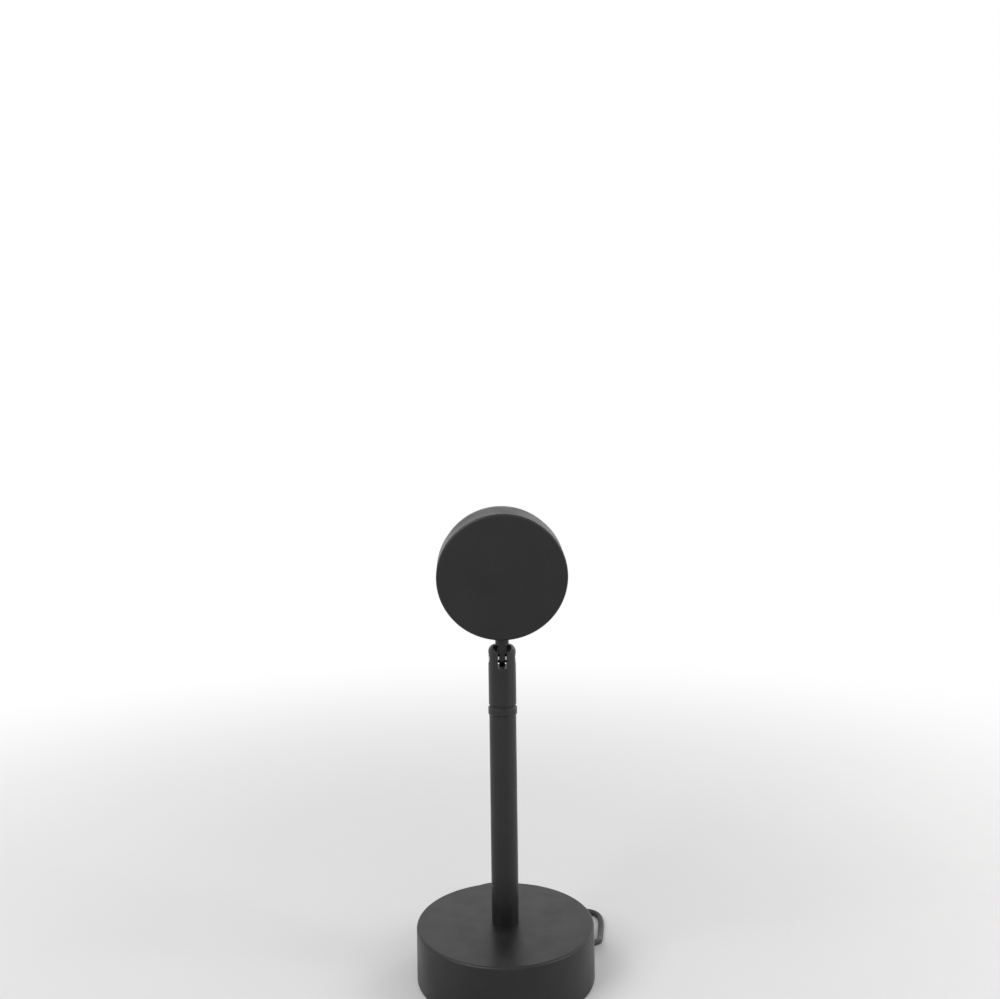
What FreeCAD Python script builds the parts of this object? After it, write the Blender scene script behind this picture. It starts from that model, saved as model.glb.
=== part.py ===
import FreeCAD, Part
import Sketcher
import math
import os
import re

# Sunset projection lamp: drum base, slim pole with a swivel, tilting disc head.
# Millimetres. +Z is up, the origin is the centre of the base on the table, and the beam points along +Y.
# Every driving dimension is a cell of the sheet below; each sub-part is one labelled object bound to it.

Vector = FreeCAD.Vector
DOC = FreeCAD.newDocument("SunsetLamp")

DIMENSIONS = [
    # base drum
    ("base_radius", 50.5, "outer radius of the drum"),
    ("base_height", 30.0, "top of the drum above the table"),
    ("base_wall", 1.6, "side wall"),
    ("base_top", 2.0, "top plate"),
    ("base_edge", 1.3, "rounded top edge"),
    ("base_lift", 1.0, "rim above the table"),
    ("slip_fit", 0.3, "radial gap of a loose inner piece"),
    ("weight_thick", 8.0, "ballast disc"),
    ("boss_radius", 4.5, "screw boss of the ballast"),
    ("plate_thick", 1.5, "bottom plate"),
    ("pad_thick", 2.0, "rubber foot ring"),
    ("pad_inset", 3.0, "foot ring in from the drum's side"),
    ("pad_width", 4.0, "rubber foot ring"),
    ("pad_outer", "=base_radius - pad_inset", "foot ring outside"),
    ("pad_inner", "=pad_outer - pad_width", "foot ring inside"),
    ("base_screw", 1.5, "base screw shank radius"),
    ("base_screw_head", 2.8, "base screw head radius"),
    ("base_screw_cap", 1.3, "base screw head height"),
    ("base_screw_grip", 8.0, "base screw depth in its boss"),
    ("boss_inset", 4.5, "screw circle in from the foot ring"),
    ("boss_circle", "=pad_inner - boss_inset", "circle of the base screws and their bosses"),
    # pole
    ("pole_radius", 7.7, "lower tube outside"),
    ("pole_bore", 3.0, "wire passage"),
    ("ring_floor", 148.6, "underside of the swivel ring"),
    ("nipple_radius", 5.0, "threaded foot of the tube"),
    ("nipple_spare", 1.5, "thread past the nut"),
    ("nut_flats", 16.0, "tube nut across flats"),
    ("nut_thick", 4.0, "tube nut"),
    ("washer_radius", 11.0, "tube washer"),
    ("washer_thick", 1.2, "tube washer"),
    # swivel
    ("ring_radius", 8.25, "swivel ring outside"),
    ("ring_height", 4.6, "swivel ring"),
    ("ring_edge", 0.5, "swivel ring chamfer"),
    ("post_radius", 5.0, "press part of the post"),
    ("post_seat", 10.0, "press length in the tube"),
    ("spigot_radius", 4.5, "running part of the post"),
    ("spigot_height", 12.0, "spigot above the thrust washer"),
    ("thrust_radius", 7.2, "thrust washer outside"),
    ("thrust_thick", 0.8, "thrust washer"),
    ("running_fit", 0.05, "radial gap of a running fit"),
    ("face_gap", 0.1, "gap of two faces that slide"),
    ("track_rise", 5.0, "pin track above the spigot foot"),
    ("track_depth", 1.0, "pin track"),
    ("pin_radius", 1.2, "stop pin"),
    ("swivel_reach", 150.0, "swivel each way, degrees"),
    # upper sleeve and its fork
    ("sleeve_radius", 7.9, "upper sleeve outside"),
    ("sleeve_edge", 0.4, "chamfer of its lower rim"),
    ("pivot_rise", 32.0, "tilt axis above the underside of the ring"),
    ("pivot_height", "=ring_floor + pivot_rise", "tilt axis above the table"),
    ("ear_radius", 8.0, "round end of the fork ears about the tilt axis"),
    ("nose_round", 4.2, "rounded top edge of the sleeve"),
    ("slot_width", 5.2, "fork slot"),
    ("slot_depth", 4.8, "fork slot below the tilt axis"),
    ("wire_bore", 2.2, "wire passage of post and sleeve"),
    ("pivot_radius", 1.5, "pivot screw shank"),
    ("pivot_head", 2.8, "pivot screw head radius"),
    ("pivot_head_thick", 2.6, "pivot screw head"),
    ("pivot_head_round", 0.5, "rounded rim of the pivot screw head"),
    ("pivot_nut_flats", 5.5, "pivot nut across flats"),
    ("pivot_nut_thick", 2.6, "pivot nut"),
    ("drive_flats", 2.0, "hexagon socket of the screws, across flats"),
    ("drive_depth", 0.9, "hexagon socket of the screws"),
    ("recess_gap", 0.15, "gap round a recessed head or nut"),
    ("recess_floor", 5.1, "floor of the recesses from the centre"),
    ("disc_radius", 2.75, "friction washer"),
    # neck and head placing
    ("tab_thick", 3.2, "neck tab between the friction washers"),
    ("tab_cheek", 3.8, "foot of the full-width tab above the washers"),
    ("tab_radius", 4.4, "round end of the tab"),
    ("neck_radius", 3.9, "neck rod"),
    ("neck_start", 8.3, "rod shoulder from the tilt axis"),
    ("neck_thread", 2.5, "threaded end of the neck"),
    ("neck_bore", 1.4, "wire hole of the neck"),
    ("neck_nut_flats", 8.0, "neck nut across flats"),
    ("neck_nut_thick", 2.7, "neck nut"),
    ("thread_end", 1.0, "thread past the neck nut, and metal under the wire hole"),
    ("neck_setback", 3.2, "neck behind the middle of the head"),
    ("spot_depth", 0.5, "flat spot under the neck"),
    ("nut_pad", 1.6, "flat pad for the neck nut inside the wall"),
    ("seat_rim", 1.0, "pad past the neck nut"),
    ("head_arm", 50.3, "tilt axis to the middle of the head"),
    ("rest_tilt", 13.1, "lens-up tilt in the photographed pose, degrees"),
    # head
    ("head_radius", 36.5, "housing outside"),
    ("head_depth", 24.1, "rear face to front rim"),
    ("head_wall", 2.0, "housing wall"),
    ("head_edge", 1.3, "rounded rear edge"),
    ("bezel_height", 7.8, "visible bezel height"),
    ("bezel_taper", 1.1, "front rim of the bezel in from the housing"),
    ("bezel_radius", "=head_radius - bezel_taper", "front rim of the bezel"),
    ("bezel_seam", 0.3, "fine seam between housing and bezel"),
    ("skirt_height", 1.8, "bezel skirt inside the housing"),
    ("collar_height", 3.2, "bezel collar round the lens stack"),
    ("collar_wall", 1.4, "bezel collar"),
    ("thread_gap", 0.1, "gap of a screwed-on skirt"),
    ("mouth_radius", 30.5, "bezel mouth at the front rim"),
    ("lip_radius", 25.5, "bezel lip over the lens"),
    ("lip_drop", 5.9, "lip below the front rim"),
    ("lip_thick", 1.0, "inner edge of the lip"),
    ("lens_radius", 27.5, "lens"),
    ("lens_edge", 2.4, "lens rim thickness"),
    ("lens_crown", 5.0, "dome above the lens rim"),
    ("dome_radius", 25.0, "foot of the lens dome"),
    ("gasket_thick", 0.6, "lens gasket"),
    ("filter_thick", 1.1, "colour filter"),
    ("flange_thick", 1.2, "reflector flange"),
    ("flange_radius", 27.5, "reflector flange"),
    ("reflector_wall", 1.0, "reflector cone"),
    ("reflector_throat", 5.2, "reflector throat"),
    ("boss_height", 1.4, "heat-sink bosses in the housing"),
    ("sink_radius", 26.0, "heat sink"),
    ("sink_thick", 2.0, "heat sink"),
    ("sink_circle", 20.0, "heat-sink screw circle"),
    ("sink_screw", 1.25, "heat-sink screw shank radius"),
    ("sink_screw_head", 2.2, "heat-sink screw head radius"),
    ("sink_screw_cap", 1.2, "heat-sink screw head"),
    ("sink_boss", 3.2, "heat-sink boss radius"),
    ("board_radius", 10.0, "LED board"),
    ("board_thick", 1.6, "LED board"),
    ("emitter_side", 5.0, "LED package"),
    ("emitter_thick", 0.7, "LED package"),
    ("emitter_dome", 2.1, "LED dome radius"),
    # cord and plug
    ("cord_radius", 1.75, "power cord"),
    ("exit_angle", 17.0, "cord exit from +X towards +Y, degrees"),
    ("exit_height", 7.5, "cord exit above the table"),
    ("grommet_lip", 3.6, "grommet flange radius"),
    ("grommet_neck", 2.7, "grommet in the wall"),
    ("grommet_face", 0.9, "grommet flange thickness"),
    ("coil_outer", 25.5, "centre line of the outer turn"),
    ("coil_gap", 0.75, "drum to coil"),
    ("coil_centre_y", "=base_radius + coil_gap + cord_radius + coil_outer", "coil centre behind the base"),
    ("coil_pitch", 4.1, "turn to turn, and layer to layer"),
    ("plug_before", 20.3, "plug axis before the coil centre"),
    ("plug_start_x", -6.0, "start of the plug's relief"),
    ("plug_width", 13.5, "plug moulding"),
    ("plug_height", 7.0, "plug moulding"),
    ("plug_length", 22.0, "plug moulding"),
    ("plug_edge", 1.5, "plug moulding edges"),
    ("relief_length", 8.0, "tapered relief of the plug"),
    ("relief_root", 3.1, "relief at the moulding"),
    ("relief_tip", 2.3, "relief at the cord"),
    ("contact_width", 12.0, "plug contact shell"),
    ("contact_height", 4.5, "plug contact shell"),
    ("contact_length", 12.0, "plug contact shell out of the moulding"),
    ("contact_wall", 0.35, "plug contact shell sheet"),
    ("contact_seat", 3.0, "plug contact shell inside the moulding"),
    ("contact_back", 0.5, "start of the shell's hollow past the moulding"),
    ("tongue_thick", 1.9, "insulating tongue in the contact shell"),
    ("lay_gap", 0.05, "plug above the cord that it lies on"),
    # shared
    ("over_cut", 1.0, "how far a cutter runs past the face that it opens"),
]

BASE_SCREWS = 3
SINK_SCREWS = 3
COIL_TURNS_IN = 3.5
COIL_START_DEG = 80.0
COIL_SWEEP_OUT_DEG = 1180.0
QUARTER = 90.0

SHEET = DOC.addObject("Spreadsheet::Sheet", "Dims")
for row, (alias, value, note) in enumerate(DIMENSIONS, start=1):
    SHEET.set("A%d" % row, alias)
    SHEET.set("B%d" % row, str(value))
    SHEET.set("C%d" % row, note)
    SHEET.setAlias("B%d" % row, alias)
DOC.recompute()
ALIASES = {alias for alias, _, _ in DIMENSIONS}


def dim(alias):
    """The number in one cell, for the pieces that are worked out by formula."""
    return float(SHEET.get(alias))


def cells(text):
    """An expression written with plain cell names, as the sheet's own references."""
    return re.sub(r"[a-z][a-z_]+", lambda m: "Dims." + m.group() if m.group() in ALIASES else m.group(), text)


def bind(thing, **expressions):
    """Ties properties to the sheet; two underscores in a keyword stand for a dot."""
    for path, text in expressions.items():
        thing.setExpression(path.replace("__", "."), cells(text))


def move(thing, place):
    """Ties a place (x, y, z) to the sheet."""
    for axis, text in zip("xyz", place):
        bind(thing, **{"Placement__Base__" + axis: text})


# ---------------------------------------------------------------- building blocks

TURN = {
    "X": FreeCAD.Rotation(Vector(0, 1, 0), 90),
    "Y": FreeCAD.Rotation(Vector(1, 0, 0), -90),
    "Z": FreeCAD.Rotation(),
}

# where the corners of an outline stand until the sheet places them
ROUGH_PLACE = Vector(20, 20, 0)
ROUGH_SIZE = 10.0


def outline(body, name, plane, corners):
    """A closed, fully constrained outline on one of the body's own planes, each corner tied to the sheet."""
    sketch = body.newObject("Sketcher::SketchObject", name)
    role = [o for o in body.Origin.OriginFeatures if o.Role == plane][0]
    sketch.AttachmentSupport = [(role, "")]
    sketch.MapMode = "FlatFace"
    count = len(corners)
    steps = [2 * math.pi * i / count for i in range(count)]
    rough = [ROUGH_PLACE + Vector(ROUGH_SIZE * math.cos(a), ROUGH_SIZE * math.sin(a), 0) for a in steps]
    for i in range(count):
        sketch.addGeometry(Part.LineSegment(rough[i], rough[(i + 1) % count]), False)
    for i in range(count):
        sketch.addConstraint(Sketcher.Constraint("Coincident", i, 2, (i + 1) % count, 1))
    for i, (across, up) in enumerate(corners):
        for kind, text, axis in (("DistanceX", across, -2), ("DistanceY", up, -1)):
            if text == "0":
                sketch.addConstraint(Sketcher.Constraint("PointOnObject", i, 1, axis))
                continue
            start = rough[i].x if kind == "DistanceX" else rough[i].y
            index = sketch.addConstraint(Sketcher.Constraint(kind, -1, 1, i, 1, start))
            label = ("across_%d" if kind == "DistanceX" else "up_%d") % i
            sketch.renameConstraint(index, label)
            bind(sketch, **{"Constraints__" + label: text})
    return sketch


def turned(name, corners):
    """A body turned about Z from (radius, height) corners."""
    body = DOC.addObject("PartDesign::Body", name)
    sketch = outline(body, name + "_profile", "XZ_Plane", corners)
    sweep = body.newObject("PartDesign::Revolution", name + "_turn")
    sweep.Profile = sketch
    sweep.ReferenceAxis = (sketch, ["V_Axis"])
    sweep.Angle = 360.0
    body.Tip = sweep
    DOC.recompute()
    return body


def rounded(body, radius, *rims):
    """Rounds the circular edges of a turned body that lie at the given (radius, height) rims."""
    picked, plain = [], body.Tip
    for number, edge in enumerate(plain.Shape.Edges, start=1):
        for rim_radius, rim_height in rims:
            circle = isinstance(edge.Curve, Part.Circle) and abs(edge.Curve.Radius - rim_radius) < 0.01
            if circle and abs(edge.Curve.Center.z - rim_height) < 0.01:
                picked.append("Edge%d" % number)
    fillet = body.newObject("PartDesign::Fillet", body.Name + "_round")
    fillet.Base = (plain, picked)
    bind(fillet, Radius=radius)
    body.Tip = fillet
    DOC.recompute()
    return body


def rod(name, radius, length, place=("0", "0", "0"), along="Z"):
    thing = DOC.addObject("Part::Cylinder", name)
    thing.Placement = FreeCAD.Placement(Vector(), TURN[along])
    bind(thing, Radius=radius, Height=length)
    move(thing, place)
    return thing


def block(name, size, place):
    thing = DOC.addObject("Part::Box", name)
    bind(thing, Length=size[0], Width=size[1], Height=size[2])
    move(thing, place)
    return thing


def hexagon(name, flats, thick, place=("0", "0", "0"), along="Z"):
    thing = DOC.addObject("Part::Prism", name)
    thing.Polygon = 6
    thing.Placement = FreeCAD.Placement(Vector(), TURN[along])
    bind(thing, Circumradius="(%s) / 2 / cos(30 deg)" % flats, Height=thick)
    move(thing, place)
    return thing


def joined(name, *pieces):
    thing = DOC.addObject("Part::MultiFuse", name)
    thing.Shapes = list(pieces)
    return thing


def less(name, base, *tools):
    """The base with every tool cut away."""
    thing = DOC.addObject("Part::Cut", name)
    thing.Base = base
    thing.Tool = tools[0] if len(tools) == 1 else joined(name + "_tools", *tools)
    return thing


def shared(name, *pieces):
    thing = DOC.addObject("Part::MultiCommon", name)
    thing.Shapes = list(pieces)
    return thing


def ringed(name, count, circle, make):
    """Copies made by make(name, place) at equal steps round a circle, as a list."""
    made = []
    for i in range(count):
        turn = 360.0 * i / count + QUARTER
        place = ("%s * cos(%g deg)" % (circle, turn), "%s * sin(%g deg)" % (circle, turn))
        made.append(make("%s_%d" % (name, i + 1), place))
    return made


NODES = []


def node(label, thing):
    """Names a finished sub-part; its label is also its file's name."""
    thing.Label = label
    NODES.append(thing)
    return thing


# ---------------------------------------------------------------- base

WEIGHT_FLOOR = "(base_height - base_top - weight_thick)"
PLATE_ROOF = "(pad_thick + plate_thick)"
INNER_RADIUS = "(base_radius - base_wall)"


def make_base():
    shell = turned(
        "base_cup",
        [
            ("nipple_radius + recess_gap", "base_height"),
            ("base_radius", "base_height"),
            ("base_radius", "base_lift"),
            (INNER_RADIUS, "base_lift"),
            (INNER_RADIUS, "base_height - base_top"),
            ("nipple_radius + recess_gap", "base_height - base_top"),
        ],
    )
    rounded(shell, "base_edge", (dim("base_radius"), dim("base_height")))
    cord_hole = radial_rod(
        "cord_hole", "grommet_neck", INNER_RADIUS + " - over_cut", "base_wall + 2 * over_cut"
    )
    node("base_shell", less("base_shell_cut", shell, cord_hole))

    disc = turned(
        "weight_disc",
        [
            ("nipple_radius + slip_fit", WEIGHT_FLOOR),
            (INNER_RADIUS + " - slip_fit", WEIGHT_FLOOR),
            (INNER_RADIUS + " - slip_fit", "base_height - base_top"),
            ("nipple_radius + slip_fit", "base_height - base_top"),
        ],
    )
    bosses = ringed(
        "weight_boss",
        BASE_SCREWS,
        "boss_circle",
        lambda name, place: rod(
            name, "boss_radius", WEIGHT_FLOOR + " - " + PLATE_ROOF, place + (PLATE_ROOF,)
        ),
    )
    taps = ringed(
        "weight_tap",
        BASE_SCREWS,
        "boss_circle",
        lambda name, place: rod(
            name, "base_screw", "base_screw_grip + over_cut", place + (PLATE_ROOF + " - over_cut",)
        ),
    )
    node("base_weight", less("base_weight_cut", joined("weight_cast", disc, *bosses), *taps))

    plate = rod("plate_disc", INNER_RADIUS + " - slip_fit", "plate_thick", ("0", "0", "pad_thick"))
    holes = ringed(
        "plate_hole",
        BASE_SCREWS,
        "boss_circle",
        lambda name, place: rod(
            name,
            "base_screw + recess_gap",
            "plate_thick + 2 * over_cut",
            place + ("pad_thick - over_cut",),
        ),
    )
    node("base_plate", less("base_plate_cut", plate, *holes))

    pad = turned(
        "pad_ring",
        [("pad_inner", "0"), ("pad_outer", "0"), ("pad_outer", "pad_thick"), ("pad_inner", "pad_thick")],
    )
    node("foot_pad", pad)

    def screw(name, place):
        under = "pad_thick - base_screw_cap"
        head = rod(name + "_head", "base_screw_head", "base_screw_cap", place + (under,))
        shank = rod(name + "_shank", "base_screw", "plate_thick + base_screw_grip", place + ("pad_thick",))
        drive = hexagon(
            name + "_drive", "drive_flats", "drive_depth + over_cut", place + (under + " - over_cut",)
        )
        return less(name, joined(name + "_form", head, shank), drive)

    group("base_screws", ringed("base_screw_piece", BASE_SCREWS, "boss_circle", screw))


def group(label, things):
    """Identical fasteners as one node of separate solids."""
    bundle = DOC.addObject("Part::Compound", label + "_group")
    bundle.Links = things
    node(label, bundle)


def radial_rod(name, radius, start, length):
    """A rod that points out of the base along the cord's exit."""
    thing = DOC.addObject("Part::Cylinder", name)
    out = exit_way()
    thing.Placement = FreeCAD.Placement(Vector(), FreeCAD.Rotation(Vector(0, 0, 1), out))
    bind(thing, Radius=radius, Height=length)
    move(
        thing,
        ("(%s) * cos(exit_angle * 1 deg)" % start, "(%s) * sin(exit_angle * 1 deg)" % start, "exit_height"),
    )
    return thing


def exit_way():
    """Unit vector along which the cord leaves the drum."""
    turn = math.radians(dim("exit_angle"))
    return Vector(math.cos(turn), math.sin(turn), 0)


def make_grommet():
    back_face = INNER_RADIUS + " - grommet_face"
    inner = radial_rod("grommet_inner", "grommet_lip", back_face, "grommet_face")
    waist = radial_rod("grommet_waist", "grommet_neck", back_face, "base_wall + 2 * grommet_face")
    outer = radial_rod("grommet_outer", "grommet_lip", "base_radius - grommet_face", "2 * grommet_face")
    drum = rod("grommet_drum", "base_radius", "2 * grommet_lip", ("0", "0", "exit_height - grommet_lip"))
    flange = less("grommet_flange", outer, drum)
    inside = rod("grommet_room", INNER_RADIUS, "2 * grommet_lip", ("0", "0", "exit_height - grommet_lip"))
    back = shared("grommet_back", inner, inside)
    passage = radial_rod(
        "grommet_passage",
        "cord_radius + running_fit",
        back_face + " - over_cut",
        "base_wall + 2 * (grommet_face + over_cut)",
    )
    node("cord_grommet", less("cord_grommet_cut", joined("grommet_body", back, waist, flange), passage))


# ---------------------------------------------------------------- pole and swivel

NUT_FLOOR = "(base_height - base_top - weight_thick - washer_thick - nut_thick)"
RING_ROOF = "(ring_floor + ring_height)"
SLEEVE_FLOOR = "(ring_floor + ring_height + thrust_thick + face_gap)"
SPIGOT_ROOF = "(ring_floor + ring_height + thrust_thick + spigot_height)"
TRACK_HEIGHT = "(ring_floor + ring_height + thrust_thick + track_rise)"


def make_pole():
    tube = turned(
        "pole_tube",
        [
            ("pole_bore", NUT_FLOOR + " - nipple_spare"),
            ("nipple_radius", NUT_FLOOR + " - nipple_spare"),
            ("nipple_radius", "base_height"),
            ("pole_radius", "base_height"),
            ("pole_radius", "ring_floor"),
            ("post_radius", "ring_floor"),
            ("post_radius", "ring_floor - post_seat"),
            ("pole_bore", "ring_floor - post_seat"),
        ],
    )
    node("lower_tube", tube)
    washer = turned(
        "foot_washer",
        [
            ("nipple_radius + recess_gap", WEIGHT_FLOOR + " - washer_thick"),
            ("washer_radius", WEIGHT_FLOOR + " - washer_thick"),
            ("washer_radius", WEIGHT_FLOOR),
            ("nipple_radius + recess_gap", WEIGHT_FLOOR),
        ],
    )
    node("tube_washer", washer)
    blank = hexagon("foot_nut", "nut_flats", "nut_thick", ("0", "0", NUT_FLOOR))
    thread = rod(
        "foot_nut_thread",
        "nipple_radius",
        "nut_thick + 2 * over_cut",
        ("0", "0", NUT_FLOOR + " - over_cut"),
    )
    node("tube_nut", less("tube_nut_cut", blank, thread))


def make_swivel():
    post = turned(
        "post_blank",
        [
            ("wire_bore", "ring_floor - post_seat"),
            ("post_radius", "ring_floor - post_seat"),
            ("post_radius", RING_ROOF),
            ("spigot_radius", RING_ROOF),
            ("spigot_radius", SPIGOT_ROOF + " - sleeve_edge"),
            ("spigot_radius - sleeve_edge", SPIGOT_ROOF),
            ("wire_bore", SPIGOT_ROOF),
        ],
    )
    node("swivel_post", less("swivel_post_cut", post, pin_track()))
    ring = turned(
        "ring_blank",
        [
            ("post_radius", "ring_floor"),
            ("ring_radius - ring_edge", "ring_floor"),
            ("ring_radius", "ring_floor + ring_edge"),
            ("ring_radius", RING_ROOF + " - ring_edge"),
            ("ring_radius - ring_edge", RING_ROOF),
            ("post_radius", RING_ROOF),
        ],
    )
    node("swivel_ring", ring)
    thrust = turned(
        "thrust_blank",
        [
            ("spigot_radius", RING_ROOF),
            ("thrust_radius", RING_ROOF),
            ("thrust_radius", RING_ROOF + " + thrust_thick"),
            ("spigot_radius", RING_ROOF + " + thrust_thick"),
        ],
    )
    node("thrust_washer", thrust)


def pin_track():
    """The groove part-way round the spigot whose closed ends stop the swivel."""
    body = DOC.addObject("PartDesign::Body", "pin_track")
    half = "pin_radius + face_gap"
    sketch = outline(
        body,
        "pin_track_profile",
        "XZ_Plane",
        [
            ("spigot_radius - track_depth", TRACK_HEIGHT + " - " + half.replace("+", "-")),
            ("spigot_radius + over_cut", TRACK_HEIGHT + " - " + half.replace("+", "-")),
            ("spigot_radius + over_cut", TRACK_HEIGHT + " + " + half),
            ("spigot_radius - track_depth", TRACK_HEIGHT + " + " + half),
        ],
    )
    sweep = body.newObject("PartDesign::Revolution", "pin_track_turn")
    sweep.Profile = sketch
    sweep.ReferenceAxis = (sketch, ["V_Axis"])
    spare = math.degrees((dim("pin_radius") + dim("slip_fit")) / (dim("spigot_radius") - dim("track_depth")))
    sweep.Angle = 2 * (dim("swivel_reach") + spare)
    body.Tip = sweep
    first = QUARTER - sweep.Angle.Value / 2
    body.Placement = FreeCAD.Placement(Vector(), FreeCAD.Rotation(Vector(0, 0, 1), first))
    DOC.recompute()
    return body


def make_sleeve():
    """Round sleeve with a rounded nose, cut into a fork whose ears are rounded about the tilt axis."""
    blank = turned(
        "sleeve_blank",
        [
            ("spigot_radius + running_fit", SLEEVE_FLOOR),
            ("sleeve_radius - sleeve_edge", SLEEVE_FLOOR),
            ("sleeve_radius", SLEEVE_FLOOR + " + sleeve_edge"),
            ("sleeve_radius", "pivot_height + ear_radius"),
            ("0", "pivot_height + ear_radius"),
            ("0", SPIGOT_ROOF + " + face_gap"),
            ("spigot_radius + running_fit", SPIGOT_ROOF + " + face_gap"),
        ],
    )
    rounded(blank, "nose_round", (dim("sleeve_radius"), dim("pivot_height") + dim("ear_radius")))
    ears = rod(
        "ear_round", "ear_radius", "4 * sleeve_radius", ("-2 * sleeve_radius", "0", "pivot_height"), "X"
    )
    stem = rod(
        "ear_stem",
        "sleeve_radius + over_cut",
        "pivot_height - " + SLEEVE_FLOOR + " + over_cut",
        ("0", "0", SLEEVE_FLOOR + " - over_cut"),
    )
    form = shared("sleeve_form", blank, joined("ear_limits", ears, stem))
    slot = block(
        "fork_slot",
        ("slot_width", "4 * sleeve_radius", "slot_depth + ear_radius + over_cut"),
        ("-slot_width / 2", "-2 * sleeve_radius", "pivot_height - slot_depth"),
    )
    bore = rod(
        "sleeve_bore",
        "wire_bore",
        "pivot_height - slot_depth - " + SPIGOT_ROOF + " + 2 * over_cut",
        ("0", "0", SPIGOT_ROOF + " - over_cut"),
    )
    cross = rod(
        "pivot_bore",
        "pivot_radius + running_fit",
        "4 * sleeve_radius",
        ("-2 * sleeve_radius", "0", "pivot_height"),
        "X",
    )
    head_recess = rod(
        "head_recess", "pivot_head + recess_gap", "sleeve_radius", ("recess_floor", "0", "pivot_height"), "X"
    )
    nut_recess = rod(
        "nut_recess",
        "pivot_nut_flats / 2 / cos(30 deg) + recess_gap",
        "sleeve_radius",
        ("-recess_floor - sleeve_radius", "0", "pivot_height"),
        "X",
    )
    pin_hole = rod("pin_hole", "pin_radius", "2 * sleeve_radius", ("0", "0", TRACK_HEIGHT), "Y")
    node("upper_sleeve", less("upper_sleeve_cut", form, slot, bore, cross, head_recess, nut_recess, pin_hole))
    pin = rod(
        "pin_blank",
        "pin_radius",
        "sleeve_radius - spigot_radius + track_depth - 2 * slip_fit",
        ("0", "spigot_radius - track_depth + slip_fit", TRACK_HEIGHT),
        "Y",
    )
    node("swivel_pin", pin)


def make_pivot():
    cap = rod("pivot_cap", "pivot_head", "pivot_head_thick", ("recess_floor", "0", "pivot_height"), "X")
    DOC.recompute()
    head = DOC.addObject("Part::Fillet", "pivot_cap_round")
    head.Base = cap
    face = dim("recess_floor") + dim("pivot_head_thick")
    rim = [n for n, edge in enumerate(cap.Shape.Edges, start=1) if abs(edge.BoundBox.XMin - face) < 0.01]
    head.Edges = [(n, dim("pivot_head_round"), dim("pivot_head_round")) for n in rim]
    drive = hexagon(
        "pivot_drive",
        "drive_flats",
        "drive_depth + over_cut",
        ("recess_floor + pivot_head_thick - drive_depth", "0", "pivot_height"),
        "X",
    )
    shank = rod(
        "pivot_shank",
        "pivot_radius",
        "2 * recess_floor + pivot_nut_thick",
        ("-recess_floor - pivot_nut_thick", "0", "pivot_height"),
        "X",
    )
    node("pivot_screw", less("pivot_screw_cut", joined("pivot_screw_form", head, shank), drive))
    blank = hexagon(
        "pivot_hex",
        "pivot_nut_flats",
        "pivot_nut_thick",
        ("-recess_floor - pivot_nut_thick", "0", "pivot_height"),
        "X",
    )
    thread = rod(
        "pivot_thread",
        "pivot_radius",
        "pivot_nut_thick + 2 * over_cut",
        ("-recess_floor - pivot_nut_thick - over_cut", "0", "pivot_height"),
        "X",
    )
    node("pivot_nut", less("pivot_nut_cut", blank, thread))
    discs = []
    thick = "((slot_width - tab_thick) / 2 - running_fit)"
    for side, start in (("left", "-slot_width / 2"), ("right", "slot_width / 2 - " + thick)):
        disc = rod("disc_" + side, "disc_radius", thick, (start, "0", "pivot_height"), "X")
        eye = rod(
            "disc_eye_" + side,
            "pivot_radius + running_fit",
            thick + " + 2 * over_cut",
            (start + " - over_cut", "0", "pivot_height"),
            "X",
        )
        discs.append(less("friction_disc_" + side, disc, eye))
    group("friction_washers", discs)


# ---------------------------------------------------------------- tilting head

HEAD_PLACE = (
    "0",
    "neck_setback * cos(rest_tilt * 1 deg) - head_arm * sin(rest_tilt * 1 deg)",
    "pivot_height + head_arm * cos(rest_tilt * 1 deg) + neck_setback * sin(rest_tilt * 1 deg)",
)
BACK = "(-head_depth / 2)"
FLOOR = "(-head_depth / 2 + head_wall)"
FRONT = "(head_depth / 2)"
SEAM = "(head_depth / 2 - bezel_height - bezel_seam)"
SPOT = "(head_radius - spot_depth)"
NUT_SEAT = "(head_radius - head_wall - nut_pad)"
LIP_UNDER = "(head_depth / 2 - lip_drop)"
LENS_RIM = "(head_depth / 2 - lip_drop - gasket_thick)"
LENS_BACK = "(head_depth / 2 - lip_drop - gasket_thick - lens_edge)"
FILTER_BACK = "(head_depth / 2 - lip_drop - gasket_thick - lens_edge - filter_thick)"
SINK_FLOOR = "(-head_depth / 2 + head_wall + boss_height)"
SINK_ROOF = "(-head_depth / 2 + head_wall + boss_height + sink_thick)"
BOARD_ROOF = "(-head_depth / 2 + head_wall + boss_height + sink_thick + board_thick)"


def on_head(thing):
    """Places a piece whose own Z is the beam's axis and whose own +Y points down the neck."""
    thing.Placement = FreeCAD.Placement(Vector(), FreeCAD.Rotation(Vector(1, 0, 0), -QUARTER))
    bind(thing, Placement__Rotation__Angle="(rest_tilt - 90) * 1 deg")
    move(thing, HEAD_PLACE)
    return thing


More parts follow.
